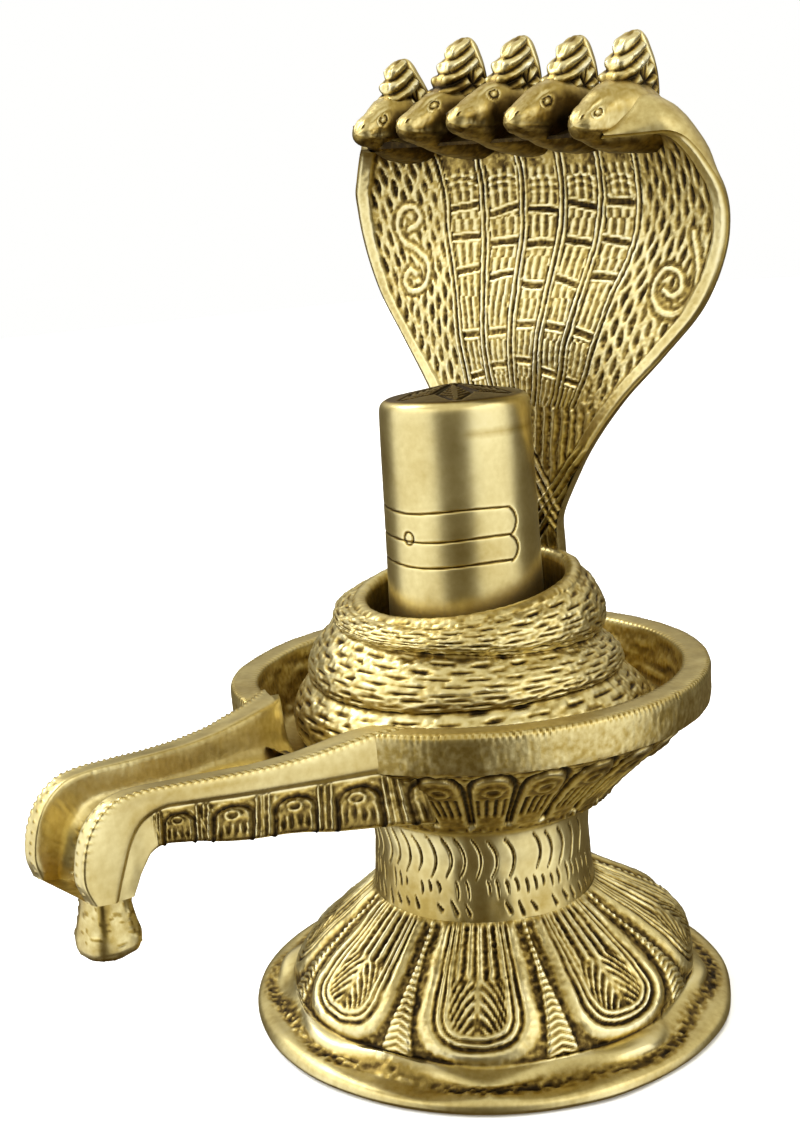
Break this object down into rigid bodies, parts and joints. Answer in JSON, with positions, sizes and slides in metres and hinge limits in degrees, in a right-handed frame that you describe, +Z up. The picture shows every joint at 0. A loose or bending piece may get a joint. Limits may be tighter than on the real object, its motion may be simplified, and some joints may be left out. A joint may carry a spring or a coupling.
{
  "type": "shiva lingam",
  "caption": "Small brass shiva lingam: a pillar in the coil of a many headed naga whose hood shelters it, on a footed round tray with a long spout.",
  "frame": {"origin": "centre of the foot's circular rim, on the ground", "axes": "+Z up along the pillar, -Y towards the spout's tip, the naga's hood behind the pillar at +Y"},
  "size_m": [0.0842, 0.1266, 0.1671],
  "materials": {
    "brass_pedestal": "aged cast brass, dark in the hollows and rubbed bright on the raised parts",
    "brass_naga": "aged cast brass, chased with scales and dark between them",
    "brass_lingam": "aged brass, turned and rubbed smooth"
  },
  "bodies": {
    "root": {"yoni_pedestal": "brass_pedestal", "naga": "brass_naga", "lingam": "brass_lingam"}
  },
  "joints": []
}
